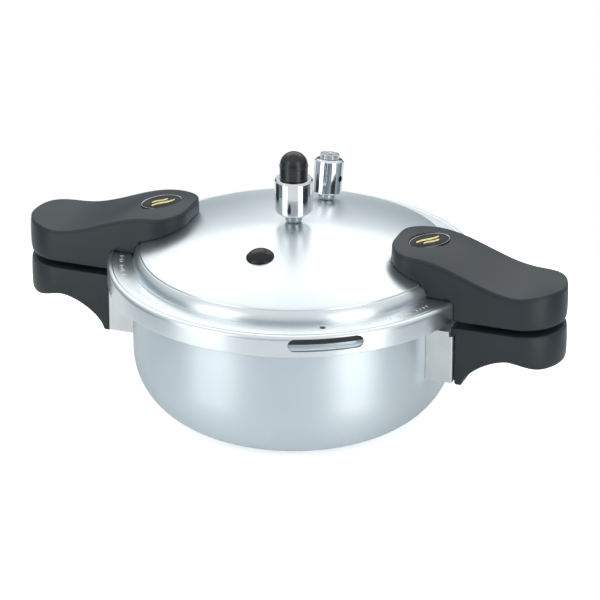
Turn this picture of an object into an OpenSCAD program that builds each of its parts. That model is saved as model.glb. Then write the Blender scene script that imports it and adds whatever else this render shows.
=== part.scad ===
// Stovetop pressure pan with an outer lid, two stacked pairs of grips, a weight valve and a spring valve.
// Origin at the centre of the resting face, +Z up, +X along the grips. Millimetres.

/* [Pan] */
// Outer radius of the pan wall
pan_r = 109.5; // [107:0.5:110]
// Height of the lid's flat ledge above the resting face
ledge_z = 107.5; // [104:0.5:130]
// Outer radius of the corner between wall and base
pan_corner_r = 46; // [30:1:46]
// Thickness of the pan wall
pan_wall = 3; // [2:0.5:4]
// Thickness of the pan base
base_t = 4.5; // [3.5:0.5:6]

/* [Lid] */
// Outer radius of the lid's skirt
skirt_r = 126; // [125.5:0.5:127]
// Height of the skirt below the ledge
skirt_h = 14.5; // [14:0.5:16]
// Rise of the dome above the ledge
dome_h = 27.9; // [24:0.5:32]
// Radius at which the dome starts
dome_r = 104.2; // [103.6:0.1:104.4]
// Thickness of the lid
lid_t = 2; // [1.6:0.1:2.2]
// Number of lugs on the rim and on the skirt
lug_count = 6; // [6:6]

/* [Grips] */
// Half the width of a grip
grip_half_w = 29.3; // [28:0.1:30]
// Distance from the axis to a grip's outer end
grip_end = 191.5; // [185:0.5:200]
// Distance from the axis to the nose of the lid's grip
grip_nose = 73.2; // [72:0.1:80]
// Height of the leg of the pan's grip, below the ledge
leg_depth = 60.8; // [58:0.2:62]

/* [Valves] */
// Radius of the weight
weight_r = 12.9; // [12:0.05:14]
// Height of the weight's metal body
weight_h = 25.4; // [24:0.1:28]
// Radius of the weight's knob
knob_r = 9.5; // [8:0.1:11]
// Radius of the spring valve's housing
housing_r = 10.1; // [9.4:0.1:11]
// Distance of the spring valve from the lid's centre
valve_pos = 56; // [50:1:62]
// Distance of the rubber plug from the lid's centre
plug_pos = 53.5; // [48:0.5:62]

/* [Hidden] */

fine = 180;            // facets of a large round
small = 48;            // facets of a small round
fit = 0.05;            // radial clearance of a pin in its hole
gap = 0.3;             // clearance between a grip and the lid it sits over
eps = 0.01;            // overcut past a face

// Rim and lugs, heights below the ledge
rim_z = ledge_z - 7;
rim_t = 4;
rim_r = 119.5;
flare_r = 10;
lug_r = 121.2;
lug_arc = 28;
lug_pitch = 360 / lug_count;
lug_start = 30;
lid_lug_r = 121.6;
lid_lug_t = 1.8;

// Lid profile
edge_r = 3;                                                  // rounding between ledge and skirt
shoulder_r = 10.5;                                           // rounded wall between ledge and dome
shoulder_x = 98.1;
shoulder_z = -0.3;
dome_edge_z = 9;
dome_rise = dome_h - dome_edge_z;
dome_R = (dome_r * dome_r + dome_rise * dome_rise) / (2 * dome_rise);
slot_len = 50;
slot_w = 8.6;
slot_z = -6.1;
slot_angle = -60;
drain_hole_r = 2;
drain_hole_pos = 112.3;

// Gasket
gasket_in = 110.7;
gasket_out = 123.6;
gasket_gap = 0.25;
gasket_z0 = rim_z + gasket_gap;
gasket_h = ledge_z - lid_t - gasket_gap - gasket_z0;

// Grips, heights above the ledge
nose_r = 21;
lid_grip_bottom = -15;
pan_grip_top = -19.3;
nose_h = 26;
waist_start = 92;
waist_end = 168;
tail_h = 7.9;
tail_rise = 5.2;
tail_start = 162;
tail_crown = 0.5;
crown = 3.5;
crown_r = 110;
arc_start = 128.5;
arc_end = 160;
arc_power = 1.55;
arc_top = -39.2;
tail_bottom = -44;
lip_t = 2.4;               // lip of the pan's grip over the bracket's top edge
lip_bottom = -24.3;
profile_steps = 22;

// Brackets
bracket_half_w = 32;
bracket_out = 123.4;
bracket_t = 2;
bracket_bottom = -58;
bracket_top = -21;
pan_tongue_top = -27;
lid_tongue_top = -6.5;
tongue_t = 2.5;
tongue_half_w = 9;
tongue_end = 166;
screw_x = 152;
screw_r = 2;
screw_head_r = 4;
screw_head_h = 2.6;
rivet_r = 2;
rivet_head_r = 3.4;
rivet_head_t = 1.2;
pan_rivet_angle = 6.5;
lid_rivet_angle = 6.3;
lid_plate_angle = 9;
lid_rivet_z = -10.5;

// Badges
badge_x = 96;
badge_a = 15.4;
badge_b = 10.2;
badge_turn = 56;
badge_t = 2.4;             // depth of the recess
badge_plate_t = 1.3;

// Fittings on the lid
stud_r = 4;
stud_depth = 12;
stud_hole_r = 4.2;
collar_foot_r = 4.4;
collar_h = 5.8;
nipple_r = 4;
nipple_top = 17.2;
vent_bore_r = 1.4;
weight_gap = 0.3;
weight_z = ledge_z + dome_h + collar_h + weight_gap;
valve_angle = 87;
plug_angle = 265.9;
plug_hole_r = 7;
plug_dome_r = 11.9;
plug_h = 5;
knob_h = 9;                // straight part of the knob, below its dome
valve_collar_h = 4.6;
housing_h = 23.9;
steam_angle = -14;
steam_z = 11.3;
spigot_h = 4;
cap_r = 6.65;
cap_h = 3.9;
housing_top = valve_collar_h + housing_h;

aluminium = [0.80, 0.82, 0.84];
steel = [0.72, 0.73, 0.75];
bright = [0.88, 0.89, 0.90];
bakelite = [0.16, 0.17, 0.18];
black_rubber = [0.08, 0.08, 0.09];

// ---- shared shapes ----

// Half section of a cup: wall radius, height, corner radius
module cup_section(r, h, c) {
    translate([0, c]) square([r, h - c]);
    square([r - c, h]);
    translate([r - c, c]) circle(c, $fn = fine);
}

// Half section of all that lies under the lid's skin, t inside its outer face
module lid_form(t) {
    translate([0, -skirt_h - 1]) square([skirt_r - t, skirt_h + 1 - edge_r]);
    translate([0, -skirt_h]) square([skirt_r - edge_r, skirt_h - t]);
    translate([skirt_r - edge_r, -edge_r]) circle(edge_r - t, $fn = fine);
    intersection() {
        translate([shoulder_x, shoulder_z]) circle(shoulder_r - t, $fn = fine);
        translate([0, -2 * edge_r]) square([skirt_r, 4 * edge_r]);
    }
    intersection() {
        translate([0, dome_h - dome_R]) circle(dome_R - t, $fn = fine);
        translate([0, -2 * edge_r]) square([dome_r - t, dome_h + 2 * edge_r]);
    }
}

module ring_of_lugs(r0, r1, z, h)
    for (i = [0 : lug_count - 1])
        rotate([0, 0, lug_start + i * lug_pitch - lug_arc / 2])
            rotate_extrude(angle = lug_arc, $fn = fine)
                translate([r0, z]) square([r1 - r0, h]);

// Places a shape on the dome, with its own +Z along the dome's normal
module on_dome(angle, r)
    translate([0, 0, ledge_z + dome_h - dome_R])
        rotate([0, 0, angle]) rotate([0, asin(r / dome_R), 0])
            translate([0, 0, dome_R]) children();

module on_apex() translate([0, 0, ledge_z + dome_h]) children();

module tube(r_out, r_in, h)
    difference() {
        cylinder(h = h, r = r_out, $fn = fine);
        translate([0, 0, -1]) cylinder(h = h + 2, r = r_in, $fn = fine);
    }

// Rivet along +X through a wall from r0 to r1, with a flat head on each side
module rivet(angle, z, r0, r1)
    rotate([0, 0, angle]) translate([0, 0, z]) rotate([0, 90, 0]) {
        translate([0, 0, r0 - rivet_head_t]) cylinder(h = rivet_head_t, r = rivet_head_r, $fn = small);
        translate([0, 0, r0 - eps]) cylinder(h = r1 - r0 + 2 * eps, r = rivet_r, $fn = small);
        translate([0, 0, r1]) cylinder(h = rivet_head_t, r = rivet_head_r, $fn = small);
    }

module rivet_hole(angle, z, r0, r1)
    rotate([0, 0, angle]) translate([r0 - 1, 0, z]) rotate([0, 90, 0])
        cylinder(h = r1 - r0 + 2, r = rivet_r + fit, $fn = small);

// Grip screw, its head's underside at z = 0 and its shank up
module grip_screw(length)
    difference() {
        union() {
            translate([0, 0, -screw_head_h]) cylinder(h = screw_head_h, r = screw_head_r, $fn = small);
            cylinder(h = length, r = screw_r, $fn = small);
        }
        for (a = [0, 90])
            rotate([0, 0, a]) translate([-2.2, -0.4, -screw_head_h - 1]) cube([4.4, 0.8, 2.4]);
    }

// Outline of a grip from above, from x0 outwards
module grip_plan(x0, corner)
    union() {
        translate([grip_end - grip_half_w, 0]) circle(grip_half_w, $fn = fine);
        translate([x0 + corner, -grip_half_w])
            square([grip_end - grip_half_w - x0 - corner, 2 * grip_half_w]);
        translate([x0, -(grip_half_w - corner)]) square([corner + 1, 2 * (grip_half_w - corner)]);
        for (s = [-1, 1])
            translate([x0 + corner, s * (grip_half_w - corner)]) circle(corner, $fn = fine);
    }

function ease(t) = t <= 0 ? 0 : t >= 1 ? 1 : (1 - cos(180 * t)) / 2;
function waist(x) = ease((x - waist_start) / (waist_end - waist_start));
function grip_top(x) = nose_h - (nose_h - tail_h) * waist(x) + crown * (1 - waist(x)) + tail_crown * waist(x)
    + tail_rise * pow(max(0, (x - tail_start) / (grip_end - tail_start)), 2);
function arc_bottom(x) = -leg_depth + (leg_depth + arc_top)
    * pow(1 - pow((arc_end - x) / (arc_end - arc_start), arc_power), 1 / arc_power);

// Extrudes a side view, drawn as x against height, across the grip
module side_view()
    rotate([90, 0, 0]) translate([0, 0, -grip_half_w - 1])
        linear_extrude(height = 2 * grip_half_w + 2) children();

module lid_grip_side()
    polygon(concat([[grip_end + 1, lid_grip_bottom], [grip_nose - 1, lid_grip_bottom]],
        [for (i = [0 : profile_steps])
            let (x = grip_nose - 1 + i * (grip_end + 2 - grip_nose) / profile_steps)
            [x, grip_top(x)]]));

module pan_grip_side()
    polygon(concat([[grip_end + 1, pan_grip_top], [bracket_out - lip_t, pan_grip_top],
        [bracket_out - lip_t, lip_bottom], [bracket_out + fit, lip_bottom], [bracket_out + fit, -leg_depth]],
        [for (i = [0 : profile_steps])
            let (x = arc_start + (1 - cos(90 * i / profile_steps)) * (arc_end - arc_start))
            [x, arc_bottom(x)]],
        [[arc_end + 12, (arc_top + tail_bottom) / 2], [grip_end - 9, tail_bottom],
            [grip_end - 3, tail_bottom + 2], [grip_end + 1, tail_bottom + 8]]));

module turn_to(side) rotate([0, 0, side == "left" ? 180 : 0]) children();

// Pocket for the lid bracket's plate and tongue, open towards the skirt
module lid_bracket_pocket() {
    rotate([0, 0, -lid_plate_angle - 0.3]) rotate_extrude(angle = 2 * lid_plate_angle + 0.6, $fn = fine)
        translate([skirt_r - 1, lid_grip_bottom - 1]) square([bracket_t + rivet_head_t + 1.4, 15.5]);
    translate([skirt_r, -tongue_half_w - fit, lid_tongue_top - tongue_t])
        cube([tongue_end - skirt_r + fit, 2 * tongue_half_w + 2 * fit, tongue_t + fit]);
}

module screw_hole(z_bottom, z_top, depth) translate([screw_x, 0, 0]) {
    translate([0, 0, z_bottom - 1]) cylinder(h = z_top - depth - z_bottom + 1, r = screw_head_r + 0.3, $fn = small);
    translate([0, 0, z_bottom]) cylinder(h = z_top + depth - z_bottom, r = screw_r + fit, $fn = small);
}

module oval(a, b, h)
    intersection_for (s = [-1, 1])
        translate([0, s * (a * a - b * b) / (2 * b), 0])
            cylinder(h = h, r = (a * a + b * b) / (2 * b), $fn = fine);

module at_badge(side)
    turn_to(side) translate([badge_x, 0, ledge_z + crown + nose_h]) rotate([0, 0, badge_turn]) children();

// ---- pan ----

module pan_body() color(aluminium)
    difference() {
        union() {
            rotate_extrude($fn = fine) {
                cup_section(pan_r, rim_z - 1, pan_corner_r);
                difference() {
                    translate([0, rim_z - rim_t - flare_r]) square([rim_r, flare_r + rim_t]);
                    translate([pan_r + flare_r, rim_z - rim_t - flare_r]) circle(flare_r, $fn = fine);
                }
            }
            ring_of_lugs(rim_r - 2, lug_r, rim_z - rim_t, rim_t);
        }
        rotate_extrude($fn = fine) {
            translate([0, base_t]) cup_section(pan_r - pan_wall, ledge_z, pan_corner_r - pan_wall);
            difference() {
                translate([0, rim_z - rim_t]) square([pan_r - pan_wall + rim_t, rim_t + 1]);
                translate([pan_r - pan_wall + rim_t, rim_z - rim_t]) circle(rim_t, $fn = fine);
            }
        }
        for (side = [0, 180], a = [-1, 1])
            rivet_hole(side + a * pan_rivet_angle, ledge_z + (bracket_bottom + bracket_top) / 2,
                pan_r - pan_wall, pan_r + bracket_t);
    }

module pan_bracket(side) color(steel) turn_to(side) translate([0, 0, ledge_z])
    difference() {
        union() {
            intersection() {
                translate([0, 0, bracket_bottom]) tube(pan_r + bracket_t, pan_r + fit, bracket_top - bracket_bottom);
                translate([0, -bracket_half_w, bracket_bottom]) cube([grip_end, 2 * bracket_half_w, 99]);
            }
            translate([bracket_out - bracket_t, -bracket_half_w, bracket_bottom])
                cube([bracket_t, 2 * bracket_half_w, bracket_top - bracket_bottom]);
            difference() {
                for (s = [-1, 1])
                    translate([pan_r - 8, s * (bracket_half_w - bracket_t / 2) - bracket_t / 2, bracket_bottom])
                        cube([bracket_out - pan_r + 8, bracket_t, bracket_top - bracket_bottom]);
                translate([0, 0, bracket_bottom - 1])
                    cylinder(h = 99, r = pan_r + fit, $fn = fine);
            }
            translate([bracket_out - eps, -tongue_half_w, pan_tongue_top - tongue_t])
                cube([tongue_end - bracket_out, 2 * tongue_half_w, tongue_t]);
        }
        translate([bracket_out - lip_t - fit, -grip_end / 2, lip_bottom - fit])
            cube([lip_t + 1, grip_end, 99]);
        for (a = [-1, 1])
            rivet_hole(a * pan_rivet_angle, (bracket_bottom + bracket_top) / 2, pan_r, pan_r + bracket_t);
        translate([screw_x, 0, pan_tongue_top - tongue_t - 1])
            cylinder(h = tongue_t + 2, r = screw_r + fit, $fn = small);
    }

module pan_bracket_left() pan_bracket("left");
module pan_bracket_right() pan_bracket("right");

module pan_bracket_rivets() color(bright)
    for (side = [0, 180], a = [-1, 1])
        rivet(side + a * pan_rivet_angle, ledge_z + (bracket_bottom + bracket_top) / 2,
            pan_r - pan_wall - 0.1, pan_r + bracket_t + 0.1);

module pan_grip(side) color(bakelite) turn_to(side) translate([0, 0, ledge_z])
    difference() {
        intersection() {
            side_view() pan_grip_side();
            translate([0, 0, -leg_depth - 1]) linear_extrude(height = leg_depth)
                grip_plan(bracket_out - lip_t, 1);
        }
        translate([bracket_out - 1, -tongue_half_w - fit, pan_tongue_top - tongue_t])
            cube([tongue_end - bracket_out + 1 + fit, 2 * tongue_half_w + 2 * fit, tongue_t + fit]);
        screw_hole(-leg_depth, pan_tongue_top - tongue_t, 6);
    }

module pan_grip_left() pan_grip("left");
module pan_grip_right() pan_grip("right");

module pan_grip_screws() color(steel)
    for (side = ["left", "right"])
        turn_to(side) translate([screw_x, 0, ledge_z + pan_tongue_top - tongue_t - 6]) grip_screw(11.5);

// ---- gasket ----

module gasket() color(black_rubber)
    rotate_extrude($fn = fine)
        difference() {
            translate([gasket_in, gasket_z0]) square([gasket_out - gasket_in, gasket_h]);
            translate([gasket_in - 1, gasket_z0 + gasket_h / 2 - 0.7]) square([8, 1.4]);
            translate([gasket_in + 7, gasket_z0 + gasket_h / 2]) circle(1, $fn = small);
        }

// ---- lid ----

module lid_shell() color(aluminium)
    difference() {
        union() {
            translate([0, 0, ledge_z]) rotate_extrude($fn = fine)
                difference() {
                    intersection() {
                        lid_form(0);
                        translate([0, -skirt_h]) square([skirt_r + 1, skirt_h + dome_h + 1]);
                    }
                    lid_form(lid_t);
                    translate([dome_r + 0.4, dome_edge_z - 0.3]) circle(1, $fn = small);
                }
            ring_of_lugs(lid_lug_r, skirt_r - lid_t / 2, ledge_z - skirt_h, lid_lug_t);
        }
        on_apex() translate([0, 0, -9]) cylinder(h = 12, r = stud_hole_r, $fn = fine);
        on_dome(valve_angle, valve_pos) translate([0, 0, -9]) cylinder(h = 12, r = stud_hole_r, $fn = fine);
        on_dome(plug_angle, plug_pos) translate([0, 0, -9]) cylinder(h = 12, r = plug_hole_r, $fn = fine);
        rotate([0, 0, slot_angle]) translate([skirt_r - 8, 0, ledge_z + slot_z]) rotate([90, 0, 90])
            linear_extrude(height = 12) {
                square([slot_len - slot_w, slot_w], center = true);
                for (s = [-1, 1]) translate([s * (slot_len - slot_w) / 2, 0]) circle(slot_w / 2, $fn = small);
            }
        rotate([0, 0, slot_angle]) translate([drain_hole_pos, 0, ledge_z - 5])
            cylinder(h = 9, r = drain_hole_r, $fn = small);
        for (side = [0, 180], a = [-1, 1])
            rivet_hole(side + a * lid_rivet_angle, ledge_z + lid_rivet_z, skirt_r - lid_t, skirt_r);
    }

module lid_bracket(side) color(steel) turn_to(side) translate([0, 0, ledge_z])
    difference() {
        union() {
            rotate([0, 0, -lid_plate_angle]) rotate_extrude(angle = 2 * lid_plate_angle, $fn = fine)
                translate([skirt_r + fit, -skirt_h + 0.5]) square([bracket_t, skirt_h - edge_r - 0.5]);
            intersection() {
                translate([skirt_r - 2, -tongue_half_w, lid_tongue_top - tongue_t])
                    cube([tongue_end - skirt_r + 2, 2 * tongue_half_w, tongue_t]);
                difference() {
                    translate([0, 0, -skirt_h]) cylinder(h = skirt_h, r = grip_end, $fn = fine);
                    translate([0, 0, -skirt_h - 1]) cylinder(h = skirt_h + 2, r = skirt_r + 1, $fn = fine);
                }
            }
        }
        for (a = [-1, 1]) rivet_hole(a * lid_rivet_angle, lid_rivet_z, skirt_r, skirt_r + bracket_t + 1);
        translate([screw_x, 0, lid_tongue_top - tongue_t - 1])
            cylinder(h = tongue_t + 2, r = screw_r + fit, $fn = small);
    }

module lid_bracket_left() lid_bracket("left");
module lid_bracket_right() lid_bracket("right");

module lid_bracket_rivets() color(bright)
    for (side = [0, 180], a = [-1, 1])
        rivet(side + a * lid_rivet_angle, ledge_z + lid_rivet_z,
            skirt_r - lid_t - 0.1, skirt_r + bracket_t + 0.1);

module lid_grip(side) color(bakelite)
    difference() {
        turn_to(side) translate([0, 0, ledge_z]) difference() {
            intersection() {
                side_view() lid_grip_side();
                translate([0, 0, lid_grip_bottom - 1]) linear_extrude(height = 60) grip_plan(grip_nose, nose_r);
                translate([0, 0, crown + nose_h - crown_r]) rotate([0, 90, 0])
                    cylinder(h = grip_end + 2, r = crown_r, $fn = fine);
            }
            rotate_extrude($fn = fine) lid_form(-gap);
            translate([0, 0, lid_grip_bottom - 2]) cylinder(h = 10, r = skirt_r + gap, $fn = fine);
            lid_bracket_pocket();
            screw_hole(lid_grip_bottom, lid_tongue_top - tongue_t, 2.8);
            translate([screw_x, 0, lid_tongue_top]) cylinder(h = 8, r = screw_r + fit, $fn = small);
        }
        at_badge(side) translate([0, 0, -badge_t]) oval(badge_a + fit, badge_b + fit, badge_t + 3);
    }

module lid_grip_left() lid_grip("left");
module lid_grip_right() lid_grip("right");

module lid_grip_screws() color(steel)
    for (side = ["left", "right"])
        turn_to(side) translate([screw_x, 0, ledge_z + lid_tongue_top - tongue_t - 2.8]) grip_screw(12.8);

module badge(side) color(bakelite)
    at_badge(side) translate([0, 0, -badge_t]) difference() {
        oval(badge_a, badge_b, badge_plate_t);
        translate([0, 0, badge_plate_t - 0.4]) oval(badge_a - 2, badge_b - 2, 1);
    }

module badge_left() badge("left");
module badge_right() badge("right");

// ---- weight valve ----

// Bowl-shaped collar that widens upwards from its foot
module bowl(r, h)
    rotate_extrude($fn = fine)
        polygon(concat([[0, 0]],
            [for (i = [0 : 9]) [collar_foot_r + (r - collar_foot_r) * sqrt(1 - pow(1 - i / 9, 2)), h * i / 9]],
            [[0, h]]));

module vent_pipe() color(bright) on_apex()
    difference() {
        union() {
            translate([0, 0, -stud_depth]) cylinder(h = stud_depth + 1, r = stud_r, $fn = fine);
            bowl(6.5, collar_h);
            translate([0, 0, collar_h - 1]) cylinder(h = nipple_top - collar_h + 1, r = nipple_r, $fn = fine);
        }
        translate([0, 0, -stud_depth - 1]) cylinder(h = stud_depth + nipple_top + 2, r = vent_bore_r, $fn = small);
    }

module lid_washer() translate([0, 0, -lid_t - 1.5]) tube(9, stud_r + fit, 1.3);

module lid_nut() translate([0, 0, -lid_t - 6.6])
    difference() {
        cylinder(h = 5, r = 9.8, $fn = 6);
        translate([0, 0, -1]) cylinder(h = 7, r = stud_r + fit, $fn = fine);
    }

module vent_washer() color(black_rubber) on_apex() lid_washer();
module vent_nut() color(steel) on_apex() lid_nut();

module weight_body() color(bright) translate([0, 0, weight_z])
    difference() {
        rotate_extrude($fn = fine) {
            translate([0, 3]) square([weight_r, weight_h - 5]);
            square([weight_r - 3, weight_h]);
            translate([weight_r - 3, 3]) circle(3, $fn = small);
            polygon([[0, weight_h - 3], [weight_r, weight_h - 3], [weight_r, weight_h - 1.6],
                [weight_r - 1.2, weight_h - 0.4], [weight_r - 1.2, weight_h], [0, weight_h]]);
        }
        translate([0, 0, -1]) cylinder(h = 13, r = nipple_r + 0.35, $fn = fine);
        translate([0, 0, 10]) cylinder(h = 6.6, r = 2.3 + 0.02, $fn = small);
        translate([0, 0, 17]) cylinder(h = weight_h, r = 2.5 + 0.02, $fn = small);
    }

module weight_needle() color(steel) translate([0, 0, weight_z]) {
    translate([0, 0, 9.8]) cylinder(h = 2.8, r1 = 0.3, r2 = 2.3, $fn = small);
    translate([0, 0, 12.6]) cylinder(h = 3.9, r = 2.3, $fn = small);
}

module weight_stud() color(steel) translate([0, 0, weight_z + 17.1])
    cylinder(h = weight_h - 17.1 + 7.5, r = 2.5, $fn = small);

module weight_knob() color(black_rubber) translate([0, 0, weight_z + weight_h])
    difference() {
        rotate_extrude($fn = fine) {
            square([knob_r, knob_h]);
            translate([0, knob_h - 0.5]) square([knob_r + 0.25, 0.5]);
            intersection() {
                translate([0, knob_h]) circle(knob_r, $fn = fine);
                translate([0, knob_h - 1]) square(2 * knob_r);
            }
        }
        translate([0, 0, -1]) cylinder(h = 9, r = 2.5 + 0.02, $fn = small);
    }

// ---- spring valve ----

module valve_base() color(bright) on_dome(valve_angle, valve_pos)
    difference() {
        union() {
            translate([0, 0, -stud_depth]) cylinder(h = stud_depth + 1, r = stud_r, $fn = fine);
            bowl(6.1, valve_collar_h);
            translate([0, 0, valve_collar_h - 1]) cylinder(h = spigot_h + 1, r = 5, $fn = fine);
        }
        translate([0, 0, -stud_depth - 1]) cylinder(h = 40, r = 2.6, $fn = small);
    }

module valve_washer() color(black_rubber) on_dome(valve_angle, valve_pos) lid_washer();
module valve_nut() color(steel) on_dome(valve_angle, valve_pos) lid_nut();

module valve_housing() color(bright) on_dome(valve_angle, valve_pos)
    translate([0, 0, valve_collar_h]) difference() {
        union() {
            cylinder(h = 1, r1 = housing_r - 0.8, r2 = housing_r, $fn = fine);
            translate([0, 0, 1]) cylinder(h = housing_h - 2.4, r = housing_r, $fn = fine);
            translate([0, 0, housing_h - 1.4]) cylinder(h = 1.4, r1 = housing_r, r2 = housing_r - 1.2, $fn = fine);
        }
        translate([0, 0, -1]) cylinder(h = 6, r = 5 + fit, $fn = fine);
        translate([0, 0, spigot_h]) cylinder(h = housing_h - 2 * spigot_h, r = 7, $fn = fine);
        translate([0, 0, housing_h - 5]) cylinder(h = 6, r = 5.6, $fn = fine);
        for (a = [0, 180])
            rotate([0, 0, a + steam_angle - valve_angle]) translate([0, 0, steam_z]) rotate([0, 90, 0])
                cylinder(h = 12, r = 2.2, $fn = small);
    }

module valve_plunger() color(steel) on_dome(valve_angle, valve_pos) {
    translate([0, 0, valve_collar_h - 1.8]) cylinder(h = 6.5, r = 2.5, $fn = small);
    translate([0, 0, valve_collar_h + spigot_h + 0.15]) cylinder(h = 1.65, r = 6.4, $fn = fine);
    translate([0, 0, valve_collar_h + spigot_h + 1]) cylinder(h = 4.2, r = 2, $fn = small);
}

// Round wire along a helix, ring by ring
function helix_ring(i, n, turns, r, w, h, sides) =
    let (a = 360 * turns * i / n)
    [for (k = [0 : sides - 1])
        let (b = 360 * k / sides)
        [(r + w * cos(b)) * cos(a), (r + w * cos(b)) * sin(a), h * i / n + w * sin(b)]];

module coil(r, w, h, turns) {
    sides = 8;
    n = turns * 20;
    points = [for (i = [0 : n]) each helix_ring(i, n, turns, r, w, h, sides)];
    walls = [for (i = [0 : n - 1], k = [0 : sides - 1])
        [i * sides + k, (i + 1) * sides + k, (i + 1) * sides + (k + 1) % sides, i * sides + (k + 1) % sides]];
    polyhedron(points, concat([[for (k = [0 : sides - 1]) k]], walls,
        [[for (k = [sides - 1 : -1 : 0]) n * sides + k]]));
}

module valve_spring() color(steel) on_dome(valve_angle, valve_pos)
    translate([0, 0, valve_collar_h + spigot_h + 2.55]) coil(4.2, 0.6, 12.4, 6);

module valve_cap() color(steel) on_dome(valve_angle, valve_pos)
    difference() {
        union() {
            translate([0, 0, housing_top - spigot_h]) cylinder(h = spigot_h + 1, r = 5.55, $fn = fine);
            translate([0, 0, housing_top]) cylinder(h = cap_h - 0.6, r = cap_r, $fn = fine);
            translate([0, 0, housing_top + cap_h - 0.6]) cylinder(h = 0.6, r1 = cap_r, r2 = cap_r - 0.6, $fn = fine);
        }
        for (a = [0 : 20 : 340])
            rotate([0, 0, a]) translate([cap_r + 0.15, 0, housing_top + 0.8])
                cylinder(h = cap_h, r = 0.5, $fn = 16);
        translate([-cap_r - 1, -0.6, housing_top + cap_h - 1.2]) cube([2 * cap_r + 2, 1.2, 2]);
    }

// ---- rubber plug ----

module safety_plug() color(black_rubber) on_dome(plug_angle, plug_pos)
    rotate_extrude($fn = fine) {
        difference() {
            intersection() {
                translate([0, plug_h - plug_dome_r]) circle(plug_dome_r, $fn = fine);
                translate([0, 0.1]) square([11, 6]);
            }
            square([2, 0.5]);
        }
        translate([0, -4]) square([plug_hole_r - fit, 5]);
        translate([0, -lid_t - 3.2]) square([8.6, 3]);
    }

pan_body();
pan_bracket_left();
pan_bracket_right();
pan_bracket_rivets();
pan_grip_left();
pan_grip_right();
pan_grip_screws();
gasket();
lid_shell();
lid_bracket_left();
lid_bracket_right();
lid_bracket_rivets();
lid_grip_left();
lid_grip_right();
lid_grip_screws();
badge_left();
badge_right();
vent_pipe();
vent_washer();
vent_nut();
weight_body();
weight_needle();
weight_stud();
weight_knob();
valve_base();
valve_washer();
valve_nut();
valve_housing();
valve_plunger();
valve_spring();
valve_cap();
safety_plug();
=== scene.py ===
import math
import bmesh
import bpy
from mathutils import Matrix, Vector


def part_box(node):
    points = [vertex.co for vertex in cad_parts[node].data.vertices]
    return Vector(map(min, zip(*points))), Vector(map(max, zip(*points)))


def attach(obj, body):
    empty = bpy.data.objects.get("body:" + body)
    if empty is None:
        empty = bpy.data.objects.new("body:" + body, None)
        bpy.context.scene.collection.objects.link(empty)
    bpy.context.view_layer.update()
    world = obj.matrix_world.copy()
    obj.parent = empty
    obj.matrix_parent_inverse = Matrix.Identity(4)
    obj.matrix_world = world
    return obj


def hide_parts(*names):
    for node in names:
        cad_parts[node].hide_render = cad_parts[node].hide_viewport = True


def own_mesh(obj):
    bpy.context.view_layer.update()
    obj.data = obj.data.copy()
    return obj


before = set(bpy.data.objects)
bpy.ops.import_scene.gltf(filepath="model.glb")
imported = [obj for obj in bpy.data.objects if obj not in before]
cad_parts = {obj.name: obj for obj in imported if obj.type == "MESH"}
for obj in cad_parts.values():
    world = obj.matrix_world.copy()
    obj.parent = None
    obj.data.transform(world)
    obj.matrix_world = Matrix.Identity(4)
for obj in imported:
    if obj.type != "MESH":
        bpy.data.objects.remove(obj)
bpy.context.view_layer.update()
millimetre = 0.001
print("frame loaded:", len(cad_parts), "nodes")


def nodeBox(name):
    # the two corners of a CAD node's box in millimetres
    return [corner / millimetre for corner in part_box(name)]


# places taken from the frame; the lid's heights are measured from its ledge
lidBox = nodeBox("lid_shell")
lidShape = {
    "skirtHeight": 14.5,      # skirt below the ledge
    "edgeRadius": 3.0,        # rounding between ledge and skirt
    "domeRadius": 104.2,      # where the dome starts
    "domeEdge": 9.0,          # height of the dome's edge above the ledge
    "shoulderRadius": 10.5,   # rounded wall between ledge and dome
    "shoulderX": 98.1,
    "shoulderZ": -0.3,
    "thickness": 2.0,
    "grooveWidth": 1.5,
    # outlines of the groove round the dome, the ring at the shoulder's foot and the line by the edge
    "domeGroove": ((0.25, -0.3), (0.45, -1.1), (1.05, -1.1)),
    "footRing": ((0.2, -0.45), (0.5, -0.7), (1.0, -0.7), (1.3, 0.12), (2.0, 0.12), (2.3, 0.0)),
    "edgeLine": ((-1.5, 0.0), (-1.25, -0.5), (-0.8, -0.5), (-0.55, 0.0)),
    "valveRadius": 56.0,      # spring valve and plug, measured from the axis
    "valveAngle": 87.0,
    "plugRadius": 53.5,
    "plugAngle": 265.9,
}
skirtRadius = lidBox[1].x
ledgeZ = lidBox[0].z + lidShape["skirtHeight"]
domeTop = lidBox[1].z - ledgeZ
domeRise = domeTop - lidShape["domeEdge"]
domeCurve = (lidShape["domeRadius"] ** 2 + domeRise ** 2) / (2 * domeRise)


# small tools
def turned(degrees, axis="Z"):
    return Matrix.Rotation(math.radians(degrees), 4, axis)


def moved(x, y, z):
    return Matrix.Translation((x, y, z))


def arc(cx, cz, radius, startDeg, endDeg, steps):
    return [(cx + radius * math.cos(math.radians(startDeg + (endDeg - startDeg) * i / steps)),
             cz + radius * math.sin(math.radians(startDeg + (endDeg - startDeg) * i / steps)))
            for i in range(steps + 1)]


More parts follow.
